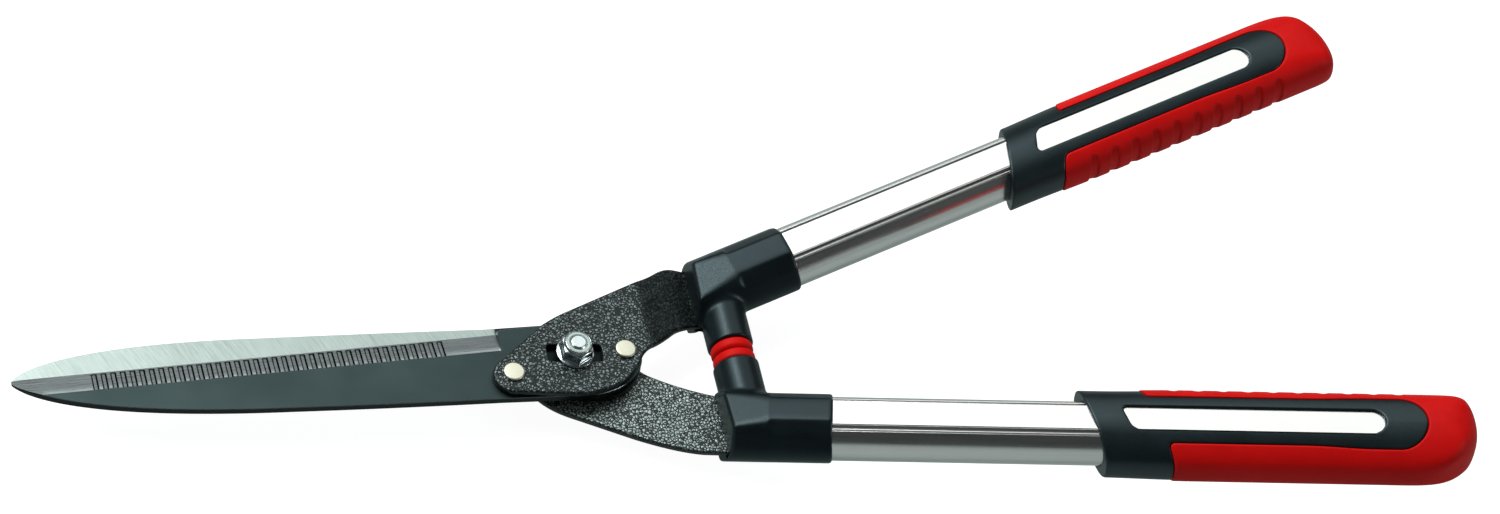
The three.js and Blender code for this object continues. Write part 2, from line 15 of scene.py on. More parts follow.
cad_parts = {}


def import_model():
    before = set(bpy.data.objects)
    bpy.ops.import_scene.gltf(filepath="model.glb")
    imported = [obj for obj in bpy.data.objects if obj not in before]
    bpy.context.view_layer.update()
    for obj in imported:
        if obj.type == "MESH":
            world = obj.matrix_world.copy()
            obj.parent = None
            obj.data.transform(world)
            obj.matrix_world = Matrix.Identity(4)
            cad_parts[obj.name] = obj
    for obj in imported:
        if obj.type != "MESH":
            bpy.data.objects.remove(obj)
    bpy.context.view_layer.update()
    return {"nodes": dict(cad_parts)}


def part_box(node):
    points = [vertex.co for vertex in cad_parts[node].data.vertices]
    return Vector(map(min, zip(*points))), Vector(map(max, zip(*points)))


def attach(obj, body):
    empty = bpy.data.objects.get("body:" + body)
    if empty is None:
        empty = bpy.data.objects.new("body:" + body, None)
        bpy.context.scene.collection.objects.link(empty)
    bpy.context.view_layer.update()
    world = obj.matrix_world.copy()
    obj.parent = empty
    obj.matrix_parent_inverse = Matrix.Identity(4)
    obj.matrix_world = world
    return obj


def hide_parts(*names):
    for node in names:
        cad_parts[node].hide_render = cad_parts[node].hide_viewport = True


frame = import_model()

# ---------------- driving dimensions, in mm

MM = 0.001
RAD = math.pi / 180


def low(node):
    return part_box(node)[0] / MM


def high(node):
    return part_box(node)[1] / MM


def middle(node):
    return (low(node) + high(node)) / 2


# Heights of the stack along the pivot, and the pieces round it.
FRONT_BLADE = (low("front_blade").z, high("front_blade").z)
REAR_BLADE = (low("rear_blade").z, high("rear_blade").z)
SLIDE_PLANE = (FRONT_BLADE[0] + REAR_BLADE[1]) / 2
FRONT_PLATE_TOP = high("front_arm").z
PLATE = 3.0
REAR_PLATE_BASE = low("rear_arm").z
RIVET_HEAD = 4.55  # radius, as are the next four
BOLT_HOLE = 4.3
BOLT_RADIUS = 4.0
COLLAR_RADIUS = 6.0
FLANGE_RADIUS = high("lock_nut").x
ACROSS_FLATS = 13
BOLT_TOP = high("pivot_bolt").z
NUT_BASE = low("lock_nut").z
NUT_TOP = high("lock_nut").z

# Handles: the upper one's axis is turned out by SPREAD and raised by CRANK.
# FROM, TO, AT and END are distances along it. X, Y and Z are in the part's own frame.
SPREAD = 14.25 * RAD
CRANK = 14.32 * RAD
HANDLE_START = Vector((50, 31.2, SLIDE_PLANE - 7.84))
TUBE_RADIUS = 13.9
TUBE_FLAT = 12.6  # from the tube's axis to its flats
TUBE_FROM = 36
TUBE_TO = 312
SOCKET_RADIUS = 16.2
SOCKET_TO = 61.4
SOCKET_FRONT_X = low("upper_socket").x
BOSS_X = middle("upper_bumper").x
BOSS_Z = middle("upper_bumper").z
BOSS_RADIUS = 10.3
BOSS_END_Y = 5.2
BUMPER_RADIUS = 9.5

# Grips: reach outwards, inwards and to the front, then the black panel, its window and the grooves.
GRIP_OUTER = 19.9
GRIP_INNER = 20.5
GRIP_CROWN = 15.2
GRIP_TO = 339
GRIP_END = GRIP_TO + 5.2
PANEL_HALF = 11.2
PANEL_BULGE = 0.9
PANEL_MIDDLE = -0.1
PANEL_END = 305.8
SKIN_PROUD = 0.45
SKIN_DEPTH = 2.2
WINDOW_HALF = 5.8
WINDOW_FROM = 188.5
WINDOW_END = 293.9
WINDOW_CHAMFER = 13.6  # height at which the window starts to widen
COLLAR_AT = 173.4
COLLAR_SLOPE = 0.35
SKIN_AT = 201.4
SKIN_SLOPE = 0.40
GROOVES = 10
GROOVE_AT = 209.4
GROOVE_PITCH = 10.85

# Light: the glow of the floor and the world on the object, and how bright the camera sees them.
FLOOR_GLOW = 0.22
FLOOR_TINT = (0.72, 1.0, 0.97)
FLOOR_WHITE = 0.95
WORLD_GLOW = 0.055
WORLD_TINT = (0.84, 1.0, 0.99, 1)
BACKDROP = 1.0
LAMP_TINT = (0.92, 1.0, 0.985)
LAMP_TARGET = (0.08, 0.0, 0.02)  # in metres

# Camera: direction from which it looks, and its place in mm.
CAMERA_TURN = -120.579 * RAD
CAMERA_RISE = 50.622 * RAD
CAMERA_ROLL = 22.605 * RAD
CAMERA_PLACE = Vector((-407.44, -797.10, 1215.21))
CAMERA_LENS = 82.58
CAMERA_SHIFT = (-0.0006, 0.0013)


def direction(azimuth, elevation):
    """Unit vector at these two angles, in radians."""
    return Vector((
        math.cos(elevation) * math.cos(azimuth),
        math.cos(elevation) * math.sin(azimuth),
        math.sin(elevation),
    ))


def carrying(x_axis, y_axis, z_axis, origin):
    """Matrix that carries the three axes and the origin to the given ones."""
    matrix = Matrix((x_axis, y_axis, z_axis)).transposed().to_4x4()
    matrix.translation = origin
    return matrix


def handle_matrix():
    along = direction(SPREAD, CRANK)
    out = Vector((-math.sin(SPREAD), math.cos(SPREAD), 0))
    return np.array(carrying(along, out, along.cross(out), HANDLE_START))


HANDLE = handle_matrix()

# ---------------- curves


def bezier(points, steps=16):
    """Points along a cubic or quadratic Bezier curve, without the last one."""
    t = np.linspace(0, 1, steps, endpoint=False)[:, None]
    p = np.array(points, float)
    if len(p) == 3:
        return (1 - t) ** 2 * p[0] + 2 * (1 - t) * t * p[1] + t ** 2 * p[2]
    return ((1 - t) ** 3 * p[0] + 3 * (1 - t) ** 2 * t * p[1]
            + 3 * (1 - t) * t ** 2 * p[2] + t ** 3 * p[3])


def chain(start, *legs, steps=16):
    """Points along Bezier curves end to end. A leg is a curve's points without the first."""
    runs = []
    for leg in legs:
        runs.append(bezier([start, *leg], steps))
        start = leg[-1]
    return path(*runs, start)


def arc(centre, radius, start, end, steps=24):
    """Points on an arc, both ends included. Angles in radians."""
    a = np.linspace(start, end, steps)
    return np.stack([centre[0] + radius * np.cos(a), centre[1] + radius * np.sin(a)], 1)


def path(*pieces):
    """One closed outline from single points and runs of points."""
    return np.concatenate([np.atleast_2d(np.array(p, float)) for p in pieces])


def smoothstep(low_edge, high_edge, value):
    t = np.clip((value - low_edge) / (high_edge - low_edge), 0, 1)
    return t * t * (3 - 2 * t)


# ---------------- distance fields


def cut(a, b, radius=0.6):
    """Where both fields are inside, with a rounded edge."""
    h = np.maximum(radius - np.abs(a - b), 0) / radius
    return np.maximum(a, b) + h * h * radius / 4


def join(a, b, radius=0.6):
    """Where either field is inside, with a fillet."""
    return -cut(-a, -b, radius)


def distance_to(outline, points):
    """Signed distance of points in a plane to a closed outline, negative inside."""
    near = np.full(len(points), 1e9)
    inside = np.zeros(len(points), bool)
    x, y = points.T
    for a, b in zip(outline, np.roll(outline, -1, 0)):
        edge = b - a
        length = edge @ edge
        if length < 1e-12:
            continue
        t = np.clip(((x - a[0]) * edge[0] + (y - a[1]) * edge[1]) / length, 0, 1)
        dx = x - a[0] - t * edge[0]
        dy = y - a[1] - t * edge[1]
        near = np.minimum(near, dx * dx + dy * dy)
        if a[1] != b[1]:
            crosses = (a[1] > y) != (b[1] > y)
            at = a[0] + (y - a[1]) / (b[1] - a[1]) * edge[0]
            inside ^= crosses & (x < at)
    return np.where(inside, -1, 1) * np.sqrt(near)


class PlaneField:
    """Signed distance to a closed outline, kept as a table and read between its points."""

    def __init__(self, outline, step=0.3, margin=4.0):
        self.step = step
        self.start = outline.min(0) - margin
        count = np.ceil((outline.max(0) + margin - self.start) / step).astype(int) + 1
        u = self.start[0] + step * np.arange(count[0])
        v = self.start[1] + step * np.arange(count[1])
        grid = np.stack(np.meshgrid(u, v, indexing="ij"), -1).reshape(-1, 2)
        self.table = distance_to(outline, grid).reshape(count)

    def __call__(self, u, v):
        size = np.array(self.table.shape)
        fu = (u - self.start[0]) / self.step
        fv = (v - self.start[1]) / self.step
        cu = np.clip(fu, 0, size[0] - 1.001)
        cv = np.clip(fv, 0, size[1] - 1.001)
        beyond = np.hypot(fu - cu, fv - cv) * self.step
        i = cu.astype(int)
        j = cv.astype(int)
        a = cu - i
        b = cv - j
        t = self.table
        return (t[i, j] * (1 - a) * (1 - b) + t[i + 1, j] * a * (1 - b)
                + t[i, j + 1] * (1 - a) * b + t[i + 1, j + 1] * a * b) + beyond


CORNERS = [(i, j, k) for i in (0, 1) for j in (0, 1) for k in (0, 1)]


def surface(field, lowest, highest, step):
    """Vertices and quads of the surface where the field is zero, inside a box."""
    axes = [np.arange(lowest[i] - 2 * step, highest[i] + 3 * step, step) for i in range(3)]
    value = field(*np.meshgrid(*axes, indexing="ij"))
    shape = np.array(value.shape)
    inside = value < 0
    cell = tuple(shape - 1)
    corner = {c: tuple(slice(c[i], c[i] + cell[i]) for i in range(3)) for c in CORNERS}
    count = sum(inside[corner[c]].astype(np.int8) for c in CORNERS)
    active = (count > 0) & (count < 8)
    place = np.argwhere(active)
    number = np.full(cell, -1, np.int64)
    number[active] = np.arange(len(place))
    total = np.zeros((len(place), 3))
    crossings = np.zeros(len(place))
    at = {c: value[corner[c]][active] for c in CORNERS}
    for a in CORNERS:
        for axis in range(3):
            if a[axis]:
                continue
            b = tuple(1 if i == axis else a[i] for i in range(3))
            crossed = (at[a] < 0) != (at[b] < 0)
            gap = np.where(crossed, at[a] - at[b], 1)
            share = at[a] / gap
            point = np.array(a, float)[None, :].repeat(len(place), 0)
            point[:, axis] += share
            total[crossed] += point[crossed]
            crossings[crossed] += 1
    points = (place + total / crossings[:, None]) * step + [a[0] for a in axes]
    quads = []
    for axis in range(3):
        u, v = (axis + 1) % 3, (axis + 2) % 3
        first = [slice(1, -1)] * 3
        first[axis] = slice(0, -1)
        second = list(first)
        second[axis] = slice(1, None)
        start_in = inside[tuple(first)]
        end_in = inside[tuple(second)]
        changed = start_in != end_in
        ring = []
        for du, dv in ((0, 0), (1, 0), (1, 1), (0, 1)):
            near = np.argwhere(changed)
            near[:, u] += du
            near[:, v] += dv
            ring.append(number[tuple(near.T)])
        ring = np.stack(ring, 1)
        flip = ~start_in[changed]
        ring[flip] = ring[flip][:, ::-1]
        quads.append(ring)
    return settle(field, points, step), np.concatenate(quads).tolist()


def settle(field, points, step, rounds=3):
    """Moves the points onto the surface along the field's slope."""
    eps = 0.25 * step
    for _ in range(rounds):
        here = field(*points.T)
        slope = np.zeros_like(points)
        for axis, off in enumerate(eps * np.eye(3)):
            slope[:, axis] = (field(*(points + off).T) - field(*(points - off).T)) / (2 * eps)
        size = np.maximum((slope ** 2).sum(1), 0.1)
        move = -here[:, None] * slope / size[:, None]
        reach = np.linalg.norm(move, axis=1, keepdims=True)
        points = points + move * np.minimum(1, 0.35 * step / np.maximum(reach, 1e-9))
    return points


# ---------------- meshes


def piece(name, node, shape, body, material, sharp=None):
    """A piece from points in mm and faces, riding on a body and standing in for a CAD node."""
    points, faces = shape
    mesh = bpy.data.meshes.new(name)
    mesh.from_pydata((points * MM).tolist(), [], faces)
    mesh.validate()
    mesh.polygons.foreach_set("use_smooth", [True] * len(mesh.polygons))
    if sharp is not None:
        mesh.set_sharp_from_angle(angle=sharp * RAD)
    mesh.materials.append(material)
    obj = bpy.data.objects.new(name, mesh)
    bpy.context.scene.collection.objects.link(obj)
    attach(obj, body)
    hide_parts(node)
    return obj


def shifted(shape, offset, turned_over=False):
    """The shape turned over about X where asked, and then moved."""
    points, faces = shape
    if turned_over:
        points = points * [1, -1, -1]
    return points + offset, faces


def on_handle(shape):
    """The shape carried from the handle's own frame to the part's."""
    points, faces = shape
    return points @ HANDLE[:3, :3].T + HANDLE[:3, 3], faces


def inside_out(shape):
    points, faces = shape
    return points, [tuple(reversed(f)) for f in faces]


def mirrored(shape):
    """Mirror image in Y, with the faces turned to face out again."""
    points, faces = shape
    return inside_out((points * [1, -1, 1], faces))


def belt(first, second, count):
    """Quads between two rings of points, given the number at which each ring starts."""
    faces = []
    for i in range(count):
        j = (i + 1) % count
        faces.append((first + i, first + j, second + j, second + i))
    return faces


def loft(sections):
    """Quads and end caps through rings that all have the same number of points."""
    count = len(sections[0])
    last = (len(sections) - 1) * count
    faces = []
    for start in range(0, last, count):
        faces += belt(start, start + count, count)
    faces.append(tuple(reversed(range(count))))
    faces.append(tuple(range(last, last + count)))
    return np.concatenate(sections), faces


def spun(profile, segments):
    """Rings of points about Z, one for each (radius, height) pair."""
    a = np.linspace(0, 2 * math.pi, segments, endpoint=False)
    return np.concatenate([
        np.stack([r * np.cos(a), r * np.sin(a), np.full(segments, z)], 1) for r, z in profile
    ])


def turned(profile, segments):
    """Body of revolution about Z through a profile whose first and last points are on the axis."""
    inner = [p for p in profile if p[0] > 1e-6]
    poles = np.array([[0, 0, profile[0][1]], [0, 0, profile[-1][1]]])
    pole = len(inner) * segments
    top = pole - segments
    faces = []
    for start in range(0, top, segments):
        faces += belt(start, start + segments, segments)
    for i in range(segments):
        j = (i + 1) % segments
        faces.append((pole, j, i))
        faces.append((pole + 1, top + i, top + j))
    return np.concatenate([spun(inner, segments), poles]), faces


def turned_ring(profile, segments):
    """Body of revolution about Z of a closed profile that stays off the axis."""
    faces = []
    for k in range(len(profile)):
        following = (k + 1) % len(profile)
        faces += belt(k * segments, following * segments, segments)
    return spun(profile, segments), faces


def rounded(profile, radius, steps=4):
    """The profile with each inner corner replaced by a small curve."""
    result = [profile[0]]
    for before, corner, after in zip(profile, profile[1:], profile[2:]):
        before, corner, after = (np.array(p, float) for p in (before, corner, after))
        back = before - corner
        ahead = after - corner
        reach = min(radius, 0.45 * np.linalg.norm(back), 0.45 * np.linalg.norm(ahead))
        p0 = corner + back / np.linalg.norm(back) * reach
        p2 = corner + ahead / np.linalg.norm(ahead) * reach
        for t in np.linspace(0, 1, steps + 1):
            result.append(tuple((1 - t) ** 2 * p0 + 2 * (1 - t) * t * corner + t * t * p2))
    result.append(profile[-1])
    return result


# ---------------- blades


class Blade:
    """Outline and sections of a blade: cutting edge on +Y, spine on -Y, round tang at +X.

    Heights are from the flat face, the one that slides on the other blade.
    """

    tip_x = low("front_blade").x
    tang_end = (31, 0.5)
    edge_end = (-31.5, 15.2)  # where the ground edge stops
    thickness = FRONT_BLADE[1] - FRONT_BLADE[0]
    land = 0.4  # thickness left at the cutting edge
    bevel = 10.3  # width of the ground bevel
    edge_break = 0.2
    spine_break = 0.25
    notches = 38
    pitch = 4.02
    first_notch = -205.9
    notch_half = 1.26  # half width of a groove at its top
    notch_floor = 0.6  # half width at its floor
    notch_depth = 0.5
    notch_inset = 0.7  # from the cutting edge to a groove's end

    def __init__(self, tip, edge_start, spine, half_width):
        self.spine = path(
            bezier([(self.tip_x, tip[0]), *spine], 60),
            bezier([spine[-1], (-80, -half_width), (-36, -half_width + 0.3)], 30),
            (-36, -half_width + 0.3),
            bezier([(2, -20.2), (18, -20.2), (31, -11), self.tang_end], 60),
            self.tang_end,
        )
        self.edge = path(
            (self.tip_x, tip[1]),
            edge_start,
            self.edge_end,
            (-29, 15.7),
            (-9, 17.3),
            bezier([(10, 19), (22, 19), (31, 10), self.tang_end], 60),
            self.tang_end,
        )

    def range(self, x):
        return np.interp(x, *self.spine.T), np.interp(x, *self.edge.T)

    def stations(self):
        """Stations along X, close together at the walls of the grooves and at the round tang."""
        tip, end = self.tip_x, self.edge_end[0]
        xs = [*np.linspace(tip, tip + 5, 12), *np.arange(tip + 6, -212, 1.5)]
        for i in range(self.notches):
            middle_x = self.first_notch + i * self.pitch
            for offset in (-self.notch_half, -self.notch_floor, self.notch_floor, self.notch_half):
                xs.append(middle_x + offset)
            xs.append(middle_x + self.pitch / 2)
        xs += list(np.arange(-50, end - 1, 1.5))
        xs += [end, end + 0.04]
        xs += list(np.arange(end + 1.5, 10, 1.5))
        xs += list(10 + 21 * np.sin(np.linspace(0, math.pi / 2, 40)))
        return np.unique(np.round(xs, 4))

    def notch_at(self, x):
        """Depth of the groove at this station, 0 between the grooves."""
        k = np.clip(np.round((x - self.first_notch) / self.pitch), 0, self.notches - 1)
        off = abs(x - self.first_notch - k * self.pitch)
        share = (self.notch_half - off) / (self.notch_half - self.notch_floor)
        return self.notch_depth * float(np.clip(share, 0, 1))

    def section(self, x):
        """Ring of (x, y, height) round the blade at one station."""
        bottom, top = self.range(x)
        fall = (self.thickness - self.land) / self.bevel
        ground = x <= self.edge_end[0]
        notch = self.notch_at(x) if ground else 0
        first = 0 if ground else self.edge_break
        inset = self.notch_inset
        width = self.bevel
        offsets = [first, inset, inset + 0.04, 2.5, 5, 7.5, width - 0.1, width + 0.15, width + 0.9]
        offsets += list(np.linspace(width + 2.5, 42, 14))
        ring = [
            (x, top, 0.0),
            (x, top, self.land if ground else self.thickness - self.edge_break),
        ]
        for offset in offsets:
            y = max(top - offset, bottom + self.spine_break)
            height = self.thickness
            if ground:
                slope_height = self.land + fall * (top - y)
                if inset < offset < width:
                    slope_height -= notch
                height = min(height, slope_height)
            ring.append((x, y, height))
        ring.append((x, bottom, max(height - self.spine_break, 0.1)))
        ring.append((x, bottom, self.edge_break))
        ring.append((x, bottom + self.edge_break, 0.0))
        ring += [(x, bottom + (top - bottom) * s, 0.0) for s in (0.3, 0.6, 0.9)]
        return np.array(ring)

    def mesh(self):
        return inside_out(loft([self.section(x) for x in self.stations()]))


def drill_for_bolt(obj):
    """Cuts the bolt's hole through a blade."""
    points, faces = turned([(0, -10), (BOLT_HOLE, -10), (BOLT_HOLE, 50), (0, 50)], 48)
    mesh = bpy.data.meshes.new("drill")
    mesh.from_pydata((points * MM).tolist(), [], faces)
    tool = bpy.data.objects.new("drill", mesh)
    bpy.context.scene.collection.objects.link(tool)
    modifier = obj.modifiers.new("hole", "BOOLEAN")
    modifier.operation = "DIFFERENCE"
    modifier.solver = "EXACT"
    modifier.object = tool
    bpy.context.view_layer.update()
    drilled = obj.evaluated_get(bpy.context.evaluated_depsgraph_get())
    mesh = bpy.data.meshes.new_from_object(drilled)
    obj.modifiers.clear()
    obj.data = mesh
    bpy.data.objects.remove(tool)


def clean_steel(obj):
    """Joins points that coincide, drops faces with no area and marks the sharp edges."""
    work = bmesh.new()
    work.from_mesh(obj.data)
    bmesh.ops.remove_doubles(work, verts=work.verts, dist=0.004 * MM)
    bmesh.ops.dissolve_degenerate(work, edges=work.edges, dist=0.002 * MM)
    bmesh.ops.recalc_face_normals(work, faces=work.faces)
    work.to_mesh(obj.data)
    work.free()
    obj.data.polygons.foreach_set("use_smooth", [True] * len(obj.data.polygons))
    obj.data.set_sharp_from_angle(angle=28 * RAD)


def blades():
    front = Blade((-0.4, 1.8), (-236, 2.3), [(-232.7, -8.5), (-205.4, -19), (-125, -19.5)], 20.2)
    rear = Blade((-2, -0.4), (-236, 0.6), [(-234, -10.1), (-204.9, -19.4), (-135, -19)], 19.2)
    steel = shifted(front.mesh(), [0, 0, FRONT_BLADE[0]])
    front_blade = piece("front_blade_steel", "front_blade", steel,
                        "upper_half", DARK_STEEL)
    steel = shifted(rear.mesh(), [0, 0, REAR_BLADE[1]], turned_over=True)
    rear_blade = piece("rear_blade_steel", "rear_blade", steel,
                       "lower_half", GROUND_STEEL)
    for blade in (front_blade, rear_blade):
        clean_steel(blade)
        drill_for_bolt(blade)


# ---------------- arms


def arm_outline(inner_edge, outer_edge):
    """Plan of an arm between its two edges, from the nose to the strip inside the socket."""
    rivet = middle("front_rivet_1")
    nose = (rivet.x, rivet.y - 0.9)
    return path(
        (nose[0] + 1, nose[1] - 9),
        inner_edge,
        (66, 19.1), (78, 22), (78, 50), (66, 48.4),
        *outer_edge,
        (-33, -2),
        arc(nose, 9, 0.66 * math.pi, 1.55 * math.pi, 40),
    )


def arm_side(stepped):
    """Side view of an arm in (x, z): flat plate, the front arm's ramp down, and the crank."""
    base = REAR_PLATE_BASE
    top = base + PLATE
    lift = 12 * math.tan(CRANK) / math.cos(SPREAD)
    strip = [(66, base), (78, base + lift), (78, top + lift), (65.6, top)]
    if not stepped:
        return path((-45, base), *strip, (-45, top))
    high_front = FRONT_PLATE_TOP
    low_front = high_front - PLATE
    return path(
        (-45, low_front),
        bezier([(31.5, low_front), (34, low_front), (36.5, low_front - 0.9)], 12),
        bezier([(60.5, base + 0.7), (62.5, base), (64.5, base)], 12),
        *strip,
        bezier([(64.5, top), (62.5, top), (60.5, top + 0.7)], 12),
        bezier([(37, high_front - 0.9), (34.5, high_front), (32.5, high_front)], 12),
        (32.5, high_front),
        (-45, high_front),
    )


def rounded_rectangle(length, width, corner, turn):
    """Signed distance to a turned rectangle with round corners, centred on the pivot."""
    def field(x, y):
        u = np.abs(x * math.cos(turn) + y * math.sin(turn)) - length / 2 + corner
        v = np.abs(-x * math.sin(turn) + y * math.cos(turn)) - width / 2 + corner
        outside = np.hypot(np.maximum(u, 0), np.maximum(v, 0))
        return outside + np.minimum(np.maximum(u, v), 0) - corner
    return field


def front_arm():
    inner_edge = chain(
        (-2, -21.2),
        [(14, -21.5), (24, -14), (29.6, -4.2)],
        [(32, 0.6), (37, 3.1)],
        [(43, 7), (49, 12.4)],
        [(53, 15.6), (60.4, 18)],
    )
    outer_edge = [
        chain((57, 48.3), [(52, 48.2), (46, 43.6)], [(40, 39), (33, 35.8)]),
        chain((-1, 21.4), [(-6, 19.3), (-12.4, 15.2)]),
    ]
    plan = PlaneField(arm_outline(inner_edge, outer_edge))
    side = PlaneField(arm_side(True))
    slot = rounded_rectangle(24.4, 8.6, 1.5, -3 * RAD)

    def field(x, y, z):
        plate = cut(plan(x, y), side(x, z), 0.9)
        return cut(plate, -slot(x, y), 0.5)

    shape = surface(field, (-39, -22, 6), (79, 51, 22), 0.5)
    piece("front_arm_plate", "front_arm", shape, "upper_half", HAMMERTONE)


def rear_arm():
    inner_edge = chain(
        (-2, -21.2),
        [(14, -21.5), (25, -13), (27.5, -3)],
        [(29, 3.6), (36.8, 7.6)],
        [(47, 13.4), (60.4, 17.7)],
    )
    outer_edge = [
        chain((66, 48.4), [(58, 47.9), (52, 47.3)], [(40, 45.5), (22, 37.5)]),
        chain((-2, 26), [(-12, 21.6), (-17, 15.4)]),
    ]
    plan = PlaneField(arm_outline(inner_edge, outer_edge))
    side = PlaneField(arm_side(False))

    def field(x, y, z):
        return cut(plan(x, y), side(x, z), 0.9)

    shape = mirrored(surface(field, (-39, -22, 6), (79, 51, 14), 0.5))
    piece("rear_arm_plate", "rear_arm", shape, "lower_half", HAMMERTONE_LIGHT)


# ---------------- pivot and rivets


def rivets():
    """Button heads on the outer faces of both arms, with a short shank below."""
    height = high("front_rivet_1").z - FRONT_PLATE_TOP
    seat = 0.02
    profile = rounded([
        (0, -4), (2.5, -4), (2.5, seat), (RIVET_HEAD, seat), (RIVET_HEAD, height - 0.35),
        (RIVET_HEAD - 0.5, height - 0.05), (0, height),
    ], 0.3)
    head = turned(profile, 64)
    sides = (("front", "upper_half", FRONT_PLATE_TOP), ("rear", "lower_half", REAR_PLATE_BASE))
    for i in (1, 2):
        for side, body, face in sides:
            node = f"{side}_rivet_{i}"
            spot = middle(node)
            shape = shifted(head, [spot.x, spot.y, face], turned_over=side == "rear")
            piece(f"{node}_head", node, shape, body, RIVET, sharp=50)


def hexagon(x, y):
    """Signed distance to a hexagon with two corners on Y."""
    far = np.full(np.shape(x), -1e9)
    for i in range(6):
        a = i * math.pi / 3
        far = np.maximum(far, x * math.cos(a) + y * math.sin(a))
    return far - ACROSS_FLATS / 2


def lock_nut():
    hex_height = 6.2
    height = NUT_TOP - NUT_BASE

    def field(x, y, z):
        radius = np.hypot(x, y)
        level = z - NUT_BASE
        cone = (radius - 7.35) * 0.5 + (level - hex_height) * 0.87 + 0.35
        body = cut(hexagon(x, y), cut(cone, level - hex_height, 0.3), 0.35)
        flange = cut(radius - FLANGE_RADIUS, (level - 1.25) + (radius - 6.4) * 0.28, 0.4)
        collar = cut(radius - COLLAR_RADIUS, level - height, 0.9)
        whole = join(join(body, flange, 0.7), collar, 0.5)
        whole = cut(whole, -level, 0.3)
        seat = np.maximum(radius - 5.35, height - 1.9 - level)
        return cut(cut(whole, -seat, 0.25), BOLT_HOLE - radius, 0.2)

    reach = FLANGE_RADIUS
    shape = surface(field, (-reach, -reach, NUT_BASE), (reach, reach, NUT_TOP), 0.2)
    piece("lock_nut_steel", "lock_nut", shape, "nut", ZINC)


def flat_ring(node, bore, corner):
    """Closed profile of a ring round the bolt, a rectangle with cut corners."""
    rim, base, top = high(node).x, low(node).z, high(node).z
    c = corner
    return [
        (bore + c, base), (rim - c, base), (rim, base + c), (rim, top - c),
        (rim - c, top), (bore + c, top), (bore, top - c), (bore, base + c),
    ]


def nut_ring():
    shape = turned_ring(flat_ring("nut_ring", 4.05, 0.25), 72)
    piece("nut_ring_nylon", "nut_ring", shape, "nut", NYLON, sharp=35)


def washer():
    shape = turned_ring(flat_ring("bolt_washer", 4.1, 0.2), 96)
    piece("bolt_washer_steel", "bolt_washer", shape, "lower_half", ZINC, sharp=35)


def pivot_bolt():
    head = 5.3

    def field(x, y, z):
        radius = np.hypot(x, y)
        cone = (radius - 6.9) * 0.5 - z * 0.87
        top_face = cut(hexagon(x, y), cut(cone, -z, 0.2), 0.3)
        body = cut(top_face, z - head, 0.25)
        end = cut(radius - BOLT_RADIUS, radius - BOLT_RADIUS + (z - BOLT_TOP) + 0.9, 0.2)
        shank = cut(cut(end, z - BOLT_TOP, 0.25), 1 - z, 0.2)
        return join(body, shank, 0.4)

    shape = surface(field, (-7.6, -7.6, 0), (7.6, 7.6, BOLT_TOP), 0.26)
    piece("pivot_bolt_steel", "pivot_bolt", shape, "lower_half", BOLT)


# ---------------- handles


def both_sides(name, node, shape, material, sharp=None):
    """A piece of the upper handle and its mirror image on the lower one."""
    for side, image in (("upper", shape), ("lower", mirrored(shape))):
        body = f"{side}_half"
        piece(f"{side}_{name}", f"{side}_{node}", image, body, material[side], sharp)


def to_handle(x, y, z):
    """Distances along the handle, outward and to the front, of points in the part's frame."""
    d = (x - HANDLE[0, 3], y - HANDLE[1, 3], z - HANDLE[2, 3])
    return tuple(sum(HANDLE[row, column] * d[row] for row in range(3)) for column in range(3))


def tubes():
    """Round tube with a flat in front and behind, and fine ribs on both sides of each flat."""
    edge = math.acos(TUBE_FLAT / TUBE_RADIUS)
    ribs = [(0.3, 0.3, 0.16), (2.2, 0.3, 0.14), (3.1, 0.3, 0.12)]  # distance, width, depth
    angles = np.linspace(0, 2 * math.pi, 480, endpoint=False)
    extra = []
    for quarter in range(2):
        for sign in (-1, 1):
            for at, width, _ in ribs:
                centre = quarter * math.pi + sign * (edge + at / TUBE_RADIUS)
                extra += list(centre + np.linspace(-1, 1, 9) * width / TUBE_RADIUS)
    angles = np.unique(np.round(np.mod(np.concatenate([angles, extra]), 2 * math.pi), 5))
    side = np.abs(np.mod(angles + math.pi / 2, math.pi) - math.pi / 2)
    radius = np.minimum(TUBE_RADIUS, TUBE_FLAT / np.maximum(np.cos(side), 0.5))
    for at, width, depth in ribs:
        off = (side - edge - at / TUBE_RADIUS) * TUBE_RADIUS / width
        radius = radius - depth * np.clip(1.4 * (1 - np.abs(off)), 0, 1)
    section = np.stack([np.zeros_like(angles), radius * np.sin(angles), radius * np.cos(angles)], 1)
    inset = section * [1, 0.97, 0.97]
    stops = [TUBE_FROM + 0.3, *np.linspace(TUBE_FROM + 1, TUBE_TO - 1, 24), TUBE_TO - 0.3]
    sections = [inset + [TUBE_FROM, 0, 0]]
    sections += [section + [s, 0, 0] for s in stops]
    sections += [inset + [TUBE_TO, 0, 0]]
    shape = on_handle(inside_out(loft(sections)))
    both_sides("tube_metal", "tube", shape, TUBE, 18)


def socket_section(s, t, h):
    """Faceted section of a socket, with a wider plateau towards the blades."""
    t, h = np.abs(t), np.abs(h)
    shoulder = 0.6386 * t + 0.7696 * h - 15.17 - 1.1 * smoothstep(35.5, 32.5, s)
    side = 0.845 * t + 0.535 * h - 15.1
    plateau = h - 14.9 + 0.10 * np.maximum(33.5 - s, 0)
    section = cut(cut(plateau, shoulder, 0.35), side, 0.5)
    return cut(section, np.hypot(t, h) - SOCKET_RADIUS, 1.2)


